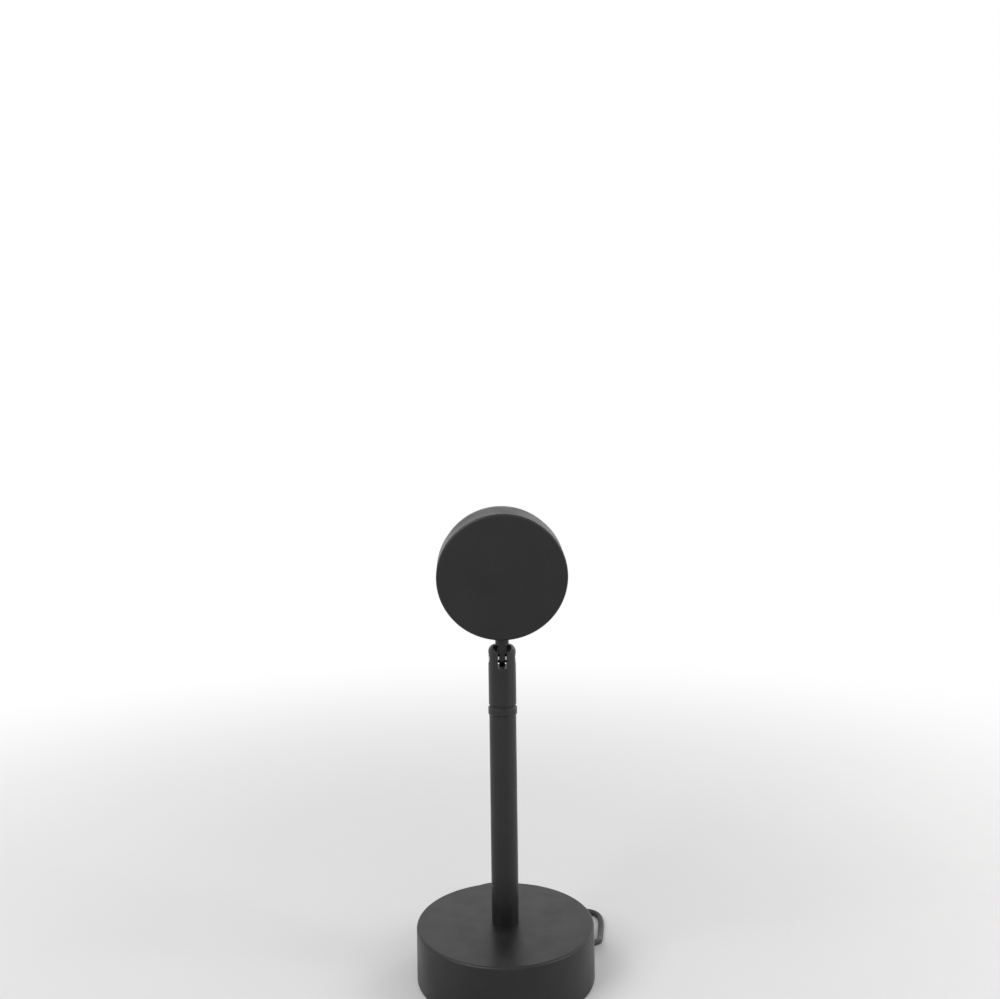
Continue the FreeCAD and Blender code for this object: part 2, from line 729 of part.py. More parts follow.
def make_neck():
    """Modelled about the tilt axis with its rod along Z, then leaned back by the rest tilt."""
    tab_end = rod("tab_end", "tab_radius", "tab_thick", ("-tab_thick / 2", "0", "0"), "X")
    tab = block(
        "tab_plate",
        ("tab_thick", "2 * neck_radius", "neck_start"),
        ("-tab_thick / 2", "-neck_radius", "0"),
    )
    cheek = "(slot_width / 2 - face_gap)"
    cheeks = block(
        "tab_cheeks",
        ("2 * " + cheek, "2 * neck_radius", "neck_start - tab_cheek"),
        ("-" + cheek, "-neck_radius", "tab_cheek"),
    )
    stem = rod("neck_rod", "neck_radius", "head_arm - %s - neck_start" % SPOT, ("0", "0", "neck_start"))
    shoulder = "(head_arm - %s)" % SPOT
    thread = rod(
        "neck_end",
        "neck_thread",
        "%s - (%s) + neck_nut_thick + thread_end" % (SPOT, NUT_SEAT),
        ("0", "0", shoulder),
    )
    inlet = ("0", "0", "neck_start + neck_bore + thread_end")
    bore = rod("neck_wire", "neck_bore", "head_arm", inlet)
    side = rod("neck_wire_side", "neck_bore", "2 * neck_radius", inlet, "Y")
    eye = rod("tab_eye", "pivot_radius + running_fit", "2 * tab_thick", ("-tab_thick", "0", "0"), "X")
    piece = less("neck_stem_cut", joined("neck_form", tab_end, tab, cheeks, stem, thread), bore, side, eye)
    piece.Placement = FreeCAD.Placement(Vector(), FreeCAD.Rotation(Vector(1, 0, 0), 1))
    bind(piece, Placement__Rotation__Angle="rest_tilt * 1 deg")
    move(piece, ("0", "0", "pivot_height"))
    node("neck_stem", piece)


def make_housing():
    cup = turned(
        "head_cup",
        [
            ("0", BACK),
            ("head_radius", BACK),
            ("head_radius", SEAM),
            ("head_radius - head_wall", SEAM),
            ("head_radius - head_wall", FLOOR),
            ("0", FLOOR),
        ],
    )
    rounded(cup, "head_edge", (dim("head_radius"), -dim("head_depth") / 2))
    seat = block(
        "nut_seat",
        ("neck_nut_flats + 2 * seat_rim", "nut_pad + head_wall / 2", "neck_nut_flats + 2 * seat_rim"),
        ("-neck_nut_flats / 2 - seat_rim", NUT_SEAT, "-neck_setback - neck_nut_flats / 2 - seat_rim"),
    )
    bosses = ringed(
        "sink_boss",
        SINK_SCREWS,
        "sink_circle",
        lambda name, place: rod(name, "sink_boss", "boss_height", place + (FLOOR,)),
    )
    taps = ringed(
        "sink_tap",
        SINK_SCREWS,
        "sink_circle",
        lambda name, place: rod(
            name, "sink_screw", "boss_height + head_wall / 2", place + (FLOOR + " - head_wall / 2",)
        ),
    )
    neck_hole = rod(
        "neck_hole",
        "neck_thread + recess_gap",
        "head_radius",
        ("0", NUT_SEAT + " - over_cut", "-neck_setback"),
        "Y",
    )
    spot = rod("neck_spot", "neck_radius + recess_gap", "4 * over_cut", ("0", SPOT, "-neck_setback"), "Y")
    form = joined("head_form", cup, seat, *bosses)
    node("head_housing", on_head(less("head_housing_cut", form, neck_hole, spot, *taps)))

    under = NUT_SEAT + " - neck_nut_thick"
    blank = hexagon("neck_hex", "neck_nut_flats", "neck_nut_thick", ("0", under, "-neck_setback"), "Y")
    thread = rod(
        "neck_hex_thread",
        "neck_thread",
        "neck_nut_thick + 2 * over_cut",
        ("0", under + " - over_cut", "-neck_setback"),
        "Y",
    )
    node("neck_nut", on_head(less("neck_nut_cut", blank, thread)))


def make_bezel():
    skirt = "(head_radius - head_wall - thread_gap)"
    bore = "(lens_radius + slip_fit)"
    ring = turned(
        "bezel_blank",
        [
            (bore, SEAM + " - collar_height"),
            (bore + " + collar_wall", SEAM + " - collar_height"),
            (bore + " + collar_wall", SEAM + " - skirt_height"),
            (skirt, SEAM + " - skirt_height"),
            (skirt, SEAM + " + bezel_seam"),
            ("head_radius", SEAM + " + bezel_seam"),
            ("bezel_radius", FRONT),
            ("mouth_radius", FRONT),
            ("lip_radius", LIP_UNDER + " + lip_thick"),
            ("lip_radius", LIP_UNDER),
            (bore, LIP_UNDER),
        ],
    )
    node("bezel_ring", on_head(ring))


def flat_disc(label, radius, floor, thick):
    """A plain disc of the optical stack."""
    roof = floor + " + " + thick
    disc = turned(label + "_blank", [("0", floor), (radius, floor), (radius, roof), ("0", roof)])
    node(label, on_head(disc))


def make_optics():
    rim = rod("lens_rim", "lens_radius", "lens_edge", ("0", "0", LENS_BACK))
    core = rod("lens_core", "dome_radius", "lens_edge + lens_crown", ("0", "0", LENS_BACK))
    ball = DOC.addObject("Part::Sphere", "lens_ball")
    ball_radius = "((dome_radius * dome_radius + lens_crown * lens_crown) / 2 / lens_crown)"
    bind(ball, Radius=ball_radius)
    move(ball, ("0", "0", LENS_RIM + " + lens_crown - " + ball_radius))
    node("lens", on_head(joined("lens_form", rim, shared("lens_dome", core, ball))))
    gasket = turned(
        "gasket_blank",
        [
            ("lip_radius + slip_fit", LENS_RIM),
            ("lens_radius", LENS_RIM),
            ("lens_radius", LIP_UNDER),
            ("lip_radius + slip_fit", LIP_UNDER),
        ],
    )
    node("lens_gasket", on_head(gasket))
    flat_disc("colour_filter", "lens_radius", FILTER_BACK, "filter_thick")
    cone = turned(
        "reflector_blank",
        [
            ("reflector_throat", BOARD_ROOF),
            ("reflector_throat + reflector_wall", BOARD_ROOF),
            ("lip_radius + reflector_wall", FILTER_BACK + " - flange_thick"),
            ("flange_radius", FILTER_BACK + " - flange_thick"),
            ("flange_radius", FILTER_BACK),
            ("lip_radius", FILTER_BACK),
        ],
    )
    node("reflector", on_head(cone))


def make_light_engine():
    disc = rod("sink_disc", "sink_radius", "sink_thick", ("0", "0", SINK_FLOOR))
    holes = ringed(
        "sink_hole",
        SINK_SCREWS,
        "sink_circle",
        lambda name, place: rod(
            name,
            "sink_screw + recess_gap",
            "sink_thick + 2 * over_cut",
            place + (SINK_FLOOR + " - over_cut",),
        ),
    )
    node("heat_sink", on_head(less("heat_sink_cut", disc, *holes)))

    def screw(name, place):
        cap = rod(name + "_cap", "sink_screw_head", "sink_screw_cap", place + (SINK_ROOF,))
        foot = SINK_FLOOR + " - boss_height"
        shank = rod(name + "_shank", "sink_screw", "sink_thick + boss_height", place + (foot,))
        drive = hexagon(
            name + "_drive",
            "drive_flats",
            "drive_depth + over_cut",
            place + (SINK_ROOF + " + sink_screw_cap - drive_depth",),
        )
        return less(name, joined(name + "_form", cap, shank), drive)

    bundle = DOC.addObject("Part::Compound", "sink_screw_group")
    bundle.Links = ringed("sink_screw_piece", SINK_SCREWS, "sink_circle", screw)
    node("head_screws", on_head(bundle))
    flat_disc("led_board", "board_radius", SINK_ROOF, "board_thick")
    chip = block(
        "emitter_chip",
        ("emitter_side", "emitter_side", "emitter_thick"),
        ("-emitter_side / 2", "-emitter_side / 2", BOARD_ROOF),
    )
    dome = DOC.addObject("Part::Sphere", "emitter_dome")
    dome.Angle1 = 0
    bind(dome, Radius="emitter_dome")
    move(dome, ("0", "0", BOARD_ROOF + " + emitter_thick"))
    node("led_emitter", on_head(joined("emitter_form", chip, dome)))


# ---------------------------------------------------------------- cord and plug

LEAD_STRAIGHT = 9.6
LEAD_ALONG_DRUM = [(8.0, 29.5), (9.9, 40.5), (12.1, 51.5), (12.4, 60.8), (9.0, 66.6), (3.0, 68.4)]
LEAD_ALONG_COIL = [(45.5, -4.3), (35.5, 6.2), (25.0, 16.6)]
LEAD_TOUCHDOWN = 3.2
TAIL_TURN = (-20.6, -18.1, 8.9)
TAIL_END_X = -13.0


def tube_heights():
    """Heights of the cord's centre line on the table, on the second layer, and of the plug on top."""
    low = dim("cord_radius")
    high = low + dim("coil_pitch")
    return low, high, high + low + dim("lay_gap") + dim("plug_height") / 2


def arc_between(start, corner, end):
    """The arc that is tangent to start-corner and corner-end, whose legs are equally long."""
    middle = (start + end) * 0.5
    rise = corner - middle
    half_chord = (end - start).Length / 2
    sag = half_chord * math.tan(math.atan2(rise.Length, half_chord) / 2)
    return Part.Arc(start, middle + rise.normalize() * sag, end).toShape()


def routed(points):
    """Straight runs joined by tangent arcs, and the arcs' radii."""
    edges, radii, last = [], [], points[0]
    for before, corner, after in zip(points, points[1:], points[2:]):
        way_in = (corner - before).normalize()
        way_out = (after - corner).normalize()
        leg = 0.45 * min((corner - before).Length, (after - corner).Length)
        start, end = corner - way_in * leg, corner + way_out * leg
        edges.append(Part.LineSegment(last, start).toShape())
        edges.append(arc_between(start, corner, end))
        radii.append(leg / math.tan(way_in.getAngle(way_out) / 2))
        last = end
    edges.append(Part.LineSegment(last, points[-1]).toShape())
    return edges, radii


def biarc(start, start_way, end, end_way):
    """Two arcs, tangent to each other and to the ways at both ends."""
    chord = end - start
    both = start_way + end_way
    spread = 2 * (1 - start_way.dot(end_way))
    leg = (math.sqrt(chord.dot(both) ** 2 + spread * chord.dot(chord)) - chord.dot(both)) / spread
    first, second = start + start_way * leg, end - end_way * leg
    joint = (first + second) * 0.5
    return [arc_between(start, first, joint), arc_between(joint, second, end)]


def swept(label, edges):
    """A round tube along edges that follow each other smoothly."""
    path = Part.Wire(edges)
    start = edges[0].valueAt(edges[0].FirstParameter)
    way = edges[0].tangentAt(edges[0].FirstParameter)
    ring = Part.Wire([Part.makeCircle(dim("cord_radius"), start, way)])
    solid = path.makePipeShell([ring], True, False)
    section = math.pi * dim("cord_radius") ** 2
    fill = solid.Volume / section / path.Length
    print("%s: length %.1f, volume / (section x length) %.4f" % (label, path.Length, fill))
    thing = DOC.addObject("Part::Feature", label + "_tube")
    thing.Shape = solid
    node(label, thing)
    return path


def coil_state(turn_deg):
    """Radius and height of the coil after turning so far: in on the table, up at the reversal, out on top."""
    pitch = dim("coil_pitch")
    inward = 360.0 * COIL_TURNS_IN
    inner = dim("coil_outer") - pitch * COIL_TURNS_IN
    low = tube_heights()[0]
    if turn_deg <= inward:
        return dim("coil_outer") - pitch * turn_deg / 360.0, low
    if turn_deg < inward + 180.0:
        past = (turn_deg - inward) / 180.0
        return inner - pitch / 2 * past * (1 - past), low + pitch * past * past * (3 - 2 * past)
    return inner + pitch * (turn_deg - inward - 180.0) / 360.0, low + pitch


def coil_point(turn_deg):
    radius, height = coil_state(turn_deg)
    angle = math.radians(COIL_START_DEG + turn_deg)
    return Vector(radius * math.cos(angle), dim("coil_centre_y") + radius * math.sin(angle), height)


def coil_way(turn_deg):
    step = 0.01
    total = 360.0 * COIL_TURNS_IN + 180.0 + COIL_SWEEP_OUT_DEG
    low, high = max(turn_deg - step, 0.0), min(turn_deg + step, total)
    return (coil_point(high) - coil_point(low)).normalize()


def least_self_gap(path, spacing=1.5):
    """Least clear gap of the tube to itself, measured on points at least a fifth of a turn apart."""
    count = int(path.Length / spacing)
    points = path.discretize(count)
    skip = int(8 * dim("cord_radius") / spacing)
    least = min(
        points[i].distanceToPoint(points[j])
        for i in range(count)
        for j in range(i + skip, count)
    )
    return least - 2 * dim("cord_radius")


def make_cord():
    low, _, plug = tube_heights()
    edge, middle = dim("base_radius"), dim("coil_centre_y")
    plug_y = middle - dim("plug_before")
    out = exit_way()
    start = out * (dim("base_radius") - dim("base_wall")) + Vector(0, 0, dim("exit_height"))
    straight = 2 * dim("cord_radius")
    total = 360.0 * COIL_TURNS_IN + 180.0 + COIL_SWEEP_OUT_DEG
    coil_in = coil_point(0.0) - coil_way(0.0) * straight
    coil_out = coil_point(total) + coil_way(total) * straight

    lead = [start, start + out * LEAD_STRAIGHT]
    lead += [Vector(edge + past, y, low) for past, y in LEAD_ALONG_DRUM]
    lead[2].z = LEAD_TOUCHDOWN
    lead += [Vector(x, middle + past, low) for x, past in LEAD_ALONG_COIL]
    lead += [coil_in - coil_way(0.0) * 3 * straight, coil_in]
    edges, radii = routed(lead)
    print("cord_lead radii:", " ".join("%.1f" % r for r in radii))
    lead_path = swept("cord_lead", edges)

    edges = [Part.LineSegment(coil_in, coil_point(0.0)).toShape()]
    steps = int(math.ceil(total / QUARTER))
    for i in range(steps):
        a, b = total * i / steps, total * (i + 1) / steps
        edges += biarc(coil_point(a), coil_way(a), coil_point(b), coil_way(b))
    edges.append(Part.LineSegment(coil_point(total), coil_out).toShape())
    coil_path = swept("cord_coil", edges)
    print("cord_coil least gap to itself: %.2f" % least_self_gap(coil_path))

    tail = [
        coil_out,
        coil_out + coil_way(total) * 2 * straight,
        Vector(TAIL_TURN[0], middle + TAIL_TURN[1], TAIL_TURN[2]),
        Vector(TAIL_END_X, plug_y, plug),
        Vector(dim("plug_start_x"), plug_y, plug),
    ]
    edges, radii = routed(tail)
    print("cord_tail radii:", " ".join("%.1f" % r for r in radii))
    tail_path = swept("cord_tail", edges)
    print("cord length: %.0f" % (lead_path.Length + coil_path.Length + tail_path.Length))


def make_plug():
    """Plug lying flat on the coil, its contact shell towards +X."""
    axis = tube_heights()[2]
    plug_y = dim("coil_centre_y") - dim("plug_before")
    body_start = dim("plug_start_x") + dim("relief_length")
    cone = DOC.addObject("Part::Cone", "plug_relief")
    cone.Placement = FreeCAD.Placement(Vector(dim("plug_start_x"), plug_y, axis), TURN["X"])
    bind(cone, Radius1="relief_tip", Radius2="relief_root", Height="relief_length")
    brick = DOC.addObject("Part::Box", "plug_brick")
    bind(brick, Length="plug_length", Width="plug_width", Height="plug_height")
    brick.Placement.Base = Vector(body_start, plug_y - dim("plug_width") / 2, axis - dim("plug_height") / 2)
    DOC.recompute()
    soft = DOC.addObject("Part::Fillet", "plug_soft")
    soft.Base = brick
    edge = dim("plug_edge")
    soft.Edges = [(i + 1, edge, edge) for i in range(len(brick.Shape.Edges))]
    face = body_start + dim("plug_length")
    corner = Vector(
        face - dim("contact_seat"),
        plug_y - dim("contact_width") / 2,
        axis - dim("contact_height") / 2,
    )
    pocket = DOC.addObject("Part::Box", "plug_pocket")
    bind(pocket, Length="contact_seat + over_cut", Width="contact_width", Height="contact_height")
    pocket.Placement.Base = corner
    node("plug_body", less("plug_body_cut", joined("plug_form", cone, soft), pocket))

    outer = DOC.addObject("Part::Box", "contact_outer")
    bind(outer, Length="contact_length + contact_seat", Width="contact_width", Height="contact_height")
    outer.Placement.Base = corner
    hollow = DOC.addObject("Part::Box", "contact_hollow")
    bind(
        hollow,
        Length="contact_length",
        Width="contact_width - 2 * contact_wall",
        Height="contact_height - 2 * contact_wall - tongue_thick",
    )
    wall = dim("contact_wall")
    hollow.Placement.Base = corner + Vector(dim("contact_seat") + dim("contact_back"), wall, wall)
    node("plug_contact", less("plug_contact_cut", outer, hollow))


# ---------------------------------------------------------------- check and write


def check_and_write():
    DOC.recompute()
    for thing in DOC.Objects:
        if "Invalid" in thing.State or "Error" in thing.State:
            raise RuntimeError("%s did not build: %s" % (thing.Name, thing.State))
    for thing in NODES:
        if thing.Shape.isNull() or not thing.Shape.isValid() or not thing.Shape.Solids:
            raise RuntimeError("%s has no valid solid" % thing.Label)
    os.makedirs("parts", exist_ok=True)
    for thing in NODES:
        thing.Shape.exportStep("parts/%s.step" % thing.Label)
        print("%-18s solids %d volume %10.1f" % (thing.Label, len(thing.Shape.Solids), thing.Shape.Volume))


make_base()
make_grommet()
make_pole()
make_swivel()
make_sleeve()
make_pivot()
make_neck()
make_housing()
make_bezel()
make_optics()
make_light_engine()
make_cord()
make_plug()
check_and_write()
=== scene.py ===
import math

import bmesh
import bpy
from mathutils import Matrix, Vector


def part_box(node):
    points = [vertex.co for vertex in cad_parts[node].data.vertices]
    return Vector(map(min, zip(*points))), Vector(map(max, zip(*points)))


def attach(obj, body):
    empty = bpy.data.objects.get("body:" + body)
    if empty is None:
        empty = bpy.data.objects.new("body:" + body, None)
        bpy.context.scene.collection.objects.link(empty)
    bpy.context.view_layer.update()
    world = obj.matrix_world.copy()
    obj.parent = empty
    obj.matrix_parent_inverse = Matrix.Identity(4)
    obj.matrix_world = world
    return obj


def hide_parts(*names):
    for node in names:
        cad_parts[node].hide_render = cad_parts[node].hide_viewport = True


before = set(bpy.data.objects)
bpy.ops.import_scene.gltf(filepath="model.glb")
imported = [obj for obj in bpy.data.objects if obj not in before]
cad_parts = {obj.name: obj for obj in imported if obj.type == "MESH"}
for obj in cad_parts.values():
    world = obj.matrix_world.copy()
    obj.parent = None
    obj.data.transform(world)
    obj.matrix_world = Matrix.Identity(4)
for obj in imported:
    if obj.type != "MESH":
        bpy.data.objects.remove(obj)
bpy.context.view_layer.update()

MM = 0.001

# ---------------------------------------------------------------- camera

CAMERA_DISTANCE = 0.5       # from the lamp's axis
CAMERA_HEIGHT = 0.2712      # above the table
CAMERA_SIDE_DEG = 2.0       # how far round from straight behind the head
CAMERA_LEVEL_DEG = 90.0     # from looking straight down to looking level
CAMERA_ROLL_DEG = -0.74
CAMERA_LENS = 31.45         # focal length in millimetres
CAMERA_SENSOR = 36.0        # width in millimetres
CAMERA_NEAR = 0.01
CAMERA_FAR = 20.0


def make_camera():
    """Level camera behind the head, rolled as little as the photograph is."""
    data = bpy.data.cameras.new("camera")
    data.lens = CAMERA_LENS
    data.sensor_width = CAMERA_SENSOR
    data.sensor_fit = "HORIZONTAL"
    data.clip_start = CAMERA_NEAR
    data.clip_end = CAMERA_FAR
    camera = bpy.data.objects.new("camera", data)
    bpy.context.scene.collection.objects.link(camera)
    side = math.radians(CAMERA_SIDE_DEG)
    across = -CAMERA_DISTANCE * math.sin(side)
    back = -CAMERA_DISTANCE * math.cos(side)
    place = Vector((across, back, CAMERA_HEIGHT))
    turn = Matrix.Rotation(-side, 4, "Z")
    level = Matrix.Rotation(math.radians(CAMERA_LEVEL_DEG), 4, "X")
    roll = Matrix.Rotation(math.radians(CAMERA_ROLL_DEG), 4, "Z")
    camera.matrix_world = Matrix.Translation(place) @ turn @ level @ roll
    bpy.context.scene.camera = camera


# ---------------------------------------------------------------- materials

NOISE_LOW = 0.35            # nearly all values of a noise lie between these two
NOISE_HIGH = 0.65
EDGE_SAMPLES = 6
EDGE_START = 0.01           # one minus the cosine of the bend where wear begins to show
EDGE_FULL = 0.12            # and where it shows in full
CLOUD_DETAIL = 4.0
PATCH_FINER = 6             # worn patches are this many times finer than the clouds
PATCH_STOPS = [(0.38, 0.2), (0.62, 1.0)]    # noise to share of wear


class Surface:
    """A procedural material under construction: short helpers around its node tree."""

    def __init__(self, name):
        self.material = bpy.data.materials.new(name)
        self.material.use_nodes = True
        self.tree = self.material.node_tree
        self.shader = self.tree.nodes["Principled BSDF"]
        self.place = self.tree.nodes.new("ShaderNodeTexCoord").outputs["Object"]

    def link(self, out, socket):
        self.tree.links.new(out, socket)

    def noise(self, scale, detail=3.0):
        """Noise in the part's own coordinates, so that it stays with a moving piece."""
        node = self.tree.nodes.new("ShaderNodeTexNoise")
        node.inputs["Scale"].default_value = scale
        node.inputs["Detail"].default_value = detail
        self.link(self.place, node.inputs["Vector"])
        return node.outputs["Fac"]

    def ramp(self, fac, stops, easing="LINEAR"):
        """Colour stops as (position, colour), or (position, grey)."""
        node = self.tree.nodes.new("ShaderNodeValToRGB")
        node.color_ramp.interpolation = easing
        elements = node.color_ramp.elements
        while len(elements) < len(stops):
            elements.new(0.5)
        for element, (position, colour) in zip(elements, stops):
            element.position = position
            grey = isinstance(colour, (int, float))
            element.color = (colour, colour, colour, 1.0) if grey else (*colour, 1.0)
        self.link(fac, node.inputs["Fac"])
        return node.outputs["Color"]

    def cloudy(self, fac, low, high):
        """Colour or grey that follows a noise from low to high."""
        return self.ramp(fac, [(NOISE_LOW, low), (NOISE_HIGH, high)])

    def colour(self, fac, low, high):
        self.link(self.cloudy(fac, low, high), self.shader.inputs["Base Color"])

    def roughness(self, fac, low, high):
        self.link(self.cloudy(fac, low, high), self.shader.inputs["Roughness"])

    def bump(self, fac, distance, strength, below=None):
        """Relief of this height on the surface, or on the relief below it."""
        node = self.tree.nodes.new("ShaderNodeBump")
        node.inputs["Strength"].default_value = strength
        node.inputs["Distance"].default_value = distance
        self.link(fac, node.inputs["Height"])
        if below is not None:
            self.link(below, node.inputs["Normal"])
        self.link(node.outputs["Normal"], self.shader.inputs["Normal"])
        return node.outputs["Normal"]

    def math(self, operation, first, second):
        node = self.tree.nodes.new("ShaderNodeMath")
        node.operation = operation
        for socket, value in zip(node.inputs, (first, second)):
            if isinstance(value, (int, float)):
                socket.default_value = value
            else:
                self.link(value, socket)
        return node.outputs["Value"]

    def mixed(self, fac, low, high):
        """Colour or grey blend of two outputs or constants."""
        node = self.tree.nodes.new("ShaderNodeMix")
        node.data_type = "RGBA"
        self.link(fac, node.inputs["Factor"])
        for socket, value in ((node.inputs[6], low), (node.inputs[7], high)):
            if isinstance(value, (int, float)):
                socket.default_value = (value, value, value, 1.0)
            elif isinstance(value, tuple):
                socket.default_value = (*value, 1.0)
            else:
                self.link(value, socket)
        return node.outputs[2]

    def soft_edge(self, radius):
        """The normal with edges rounded by this radius, and a mask that is 1 at such edges."""
        bevel = self.tree.nodes.new("ShaderNodeBevel")
        bevel.samples = EDGE_SAMPLES
        bevel.inputs["Radius"].default_value = radius
        normal = self.tree.nodes.new("ShaderNodeNewGeometry").outputs["Normal"]
        same = self.tree.nodes.new("ShaderNodeVectorMath")
        same.operation = "DOT_PRODUCT"
        self.link(bevel.outputs["Normal"], same.inputs[0])
        self.link(normal, same.inputs[1])
        bend = self.math("SUBTRACT", 1.0, same.outputs["Value"])
        return bevel.outputs["Normal"], self.ramp(bend, [(EDGE_START, 0.0), (EDGE_FULL, 1.0)])

    def rubbed_colour(self, scale, low, high, rubbed, radius):
        """Cloudy colour that is rubbed at the edges; gives the normal with these edges rounded."""
        rounded, edge = self.soft_edge(radius)
        cloud = self.cloudy(self.noise(scale, CLOUD_DETAIL), low, high)
        patches = self.ramp(self.noise(PATCH_FINER * scale), PATCH_STOPS)
        worn = self.math("MULTIPLY", edge, patches)
        self.link(self.mixed(worn, cloud, rubbed), self.shader.inputs["Base Color"])
        return rounded

    def distance(self, point):
        """Distance of the shaded spot from a point of the part, in metres."""
        node = self.tree.nodes.new("ShaderNodeVectorMath")
        node.operation = "DISTANCE"
        node.inputs[1].default_value = point
        self.link(self.place, node.inputs[0])
        return node.outputs["Value"]

    def set(self, **values):
        """Constant values on the shader's own sockets."""
        for name, value in values.items():
            self.shader.inputs[name.replace("_", " ")].default_value = value


def powder_coat():
    """Satin black powder coat: fine orange peel, clouds, a few pale specks, edges rubbed paler."""
    s = Surface("powder_coat_black")
    rounded, edge = s.soft_edge(0.35 * MM)
    rubbed = s.math("MULTIPLY", edge, s.ramp(s.noise(420.0, 4.0), [(0.42, 0.0), (0.66, 1.0)]))
    dark, pale = (0.0062, 0.0062, 0.0068), (0.0112, 0.0109, 0.0114)
    speck_grey, rubbed_grey = (0.05, 0.049, 0.048), (0.095, 0.092, 0.089)
    glossy, satin, rubbed_gloss = 0.34, 0.46, 0.28
    cloud = s.ramp(s.noise(38.0, 5.0), [(0.3, dark), (0.7, pale)])
    speck = s.ramp(s.noise(2600.0, 1.0), [(0.76, 0.0), (0.8, 0.35)])
    specked = s.mixed(speck, cloud, speck_grey)
    s.link(s.mixed(rubbed, specked, rubbed_grey), s.shader.inputs["Base Color"])
    smudge = s.ramp(s.noise(75.0, 6.0), [(0.32, glossy), (0.68, satin)])
    s.link(s.mixed(rubbed, smudge, rubbed_gloss), s.shader.inputs["Roughness"])
    peel = s.bump(s.noise(1300.0, 2.0), 0.09 * MM, 0.7, below=rounded)
    s.bump(s.noise(4600.0, 1.0), 0.03 * MM, 0.5, below=peel)
    s.set(Specular_IOR_Level=0.36)
    return s.material


def worn_surface(name, cloud, colours, wear, gloss, grain, **settings):
    """A material of cloudy colour, worn at its edges, with an uneven gloss and a fine grain.

    cloud    scale of the clouds
    colours  darkest, palest and worn colour
    wear     width of the worn edges
    gloss    scale and detail of its noise, lowest and highest roughness
    grain    scale and detail of its noise, height and strength of the bump
    """
    s = Surface(name)
    rounded = s.rubbed_colour(cloud, *colours, wear)
    scale, detail, low, high = gloss
    s.roughness(s.noise(scale, detail), low, high)
    scale, detail, height, strength = grain
    s.bump(s.noise(scale, detail), height, strength, below=rounded)
    s.set(**settings)
    return s.material


def bright_steel():
    return worn_surface(
        "nickel_steel",
        cloud=180.0,
        colours=[(0.50, 0.49, 0.475), (0.58, 0.57, 0.55), (0.66, 0.65, 0.63)],
        wear=0.12 * MM,
        gloss=(260.0, 4.0, 0.2, 0.28),
        grain=(1400.0, 2.0, 0.002 * MM, 0.3),
        Metallic=1.0,
    )


def plain_steel():
    return worn_surface(
        "plain_steel",
        cloud=90.0,
        colours=[(0.25, 0.25, 0.255), (0.34, 0.335, 0.33), (0.5, 0.49, 0.48)],
        wear=0.2 * MM,
        gloss=(700.0, 3.0, 0.3, 0.46),
        grain=(1800.0, 2.0, 0.01 * MM, 0.4),
        Metallic=1.0,
    )


def blackened_steel():
    return worn_surface(
        "blackened_steel",
        cloud=300.0,
        colours=[(0.018, 0.018, 0.019), (0.036, 0.035, 0.036), (0.12, 0.118, 0.115)],
        wear=0.15 * MM,
        gloss=(900.0, 3.0, 0.34, 0.48),
        grain=(2200.0, 2.0, 0.01 * MM, 0.4),
        Metallic=0.8,
    )


def turned_aluminium():
    return worn_surface(
        "turned_aluminium",
        cloud=150.0,
        colours=[(0.62, 0.62, 0.63), (0.73, 0.73, 0.74), (0.8, 0.8, 0.8)],
        wear=0.2 * MM,
        gloss=(800.0, 3.0, 0.25, 0.38),
        grain=(2400.0, 2.0, 0.01 * MM, 0.5),
        Metallic=1.0,
    )


def cast_iron():
    return worn_surface(
        "cast_iron",
        cloud=90.0,
        colours=[(0.035, 0.033, 0.032), (0.085, 0.078, 0.072), (0.14, 0.13, 0.12)],
        wear=0.5 * MM,
        gloss=(300.0, 4.0, 0.6, 0.85),
        grain=(700.0, 4.0, 0.25 * MM, 0.8),
        Metallic=0.7,
    )


def black_rubber():
    return worn_surface(
        "black_rubber",
        cloud=70.0,
        colours=[(0.009, 0.009, 0.0095), (0.017, 0.0168, 0.017), (0.03, 0.0295, 0.029)],
        wear=0.3 * MM,
        gloss=(300.0, 3.0, 0.62, 0.78),
        grain=(2200.0, 3.0, 0.06 * MM, 0.7),
        Specular_IOR_Level=0.4,
    )


def cord_jacket():
    """Soft black jacket, a little shinier than the rubber parts, with faint handling marks."""
    s = Surface("cord_jacket_black")
    s.colour(s.noise(90.0, 4.0), (0.008, 0.008, 0.0085), (0.015, 0.0148, 0.015))
    s.roughness(s.noise(210.0, 4.0), 0.4, 0.55)
    s.bump(s.noise(1800.0, 3.0), 0.03 * MM, 0.5)
    s.set(Specular_IOR_Level=0.45)
    return s.material


def moulded_plastic():
    return worn_surface(
        "moulded_black",
        cloud=80.0,
        colours=[(0.009, 0.009, 0.0095), (0.0155, 0.0153, 0.0158), (0.035, 0.034, 0.033)],
        wear=0.2 * MM,
        gloss=(420.0, 3.0, 0.42, 0.56),
        grain=(3200.0, 2.0, 0.04 * MM, 0.7),
    )


def gold_plate():
    return worn_surface(
        "gold_plate",
        cloud=500.0,
        colours=[(0.78, 0.52, 0.16), (0.9, 0.66, 0.26), (0.7, 0.66, 0.58)],
        wear=0.05 * MM,
        gloss=(1500.0, 3.0, 0.18, 0.3),
        grain=(2500.0, 3.0, 0.005 * MM, 0.4),
        Metallic=1.0,
    )


def board_enamel():
    return worn_surface(
        "board_white",
        cloud=260.0,
        colours=[(0.76, 0.77, 0.75), (0.86, 0.86, 0.84), (0.55, 0.53, 0.42)],
        wear=0.1 * MM,
        gloss=(900.0, 3.0, 0.24, 0.34),
        grain=(1500.0, 3.0, 0.02 * MM, 0.4),
    )


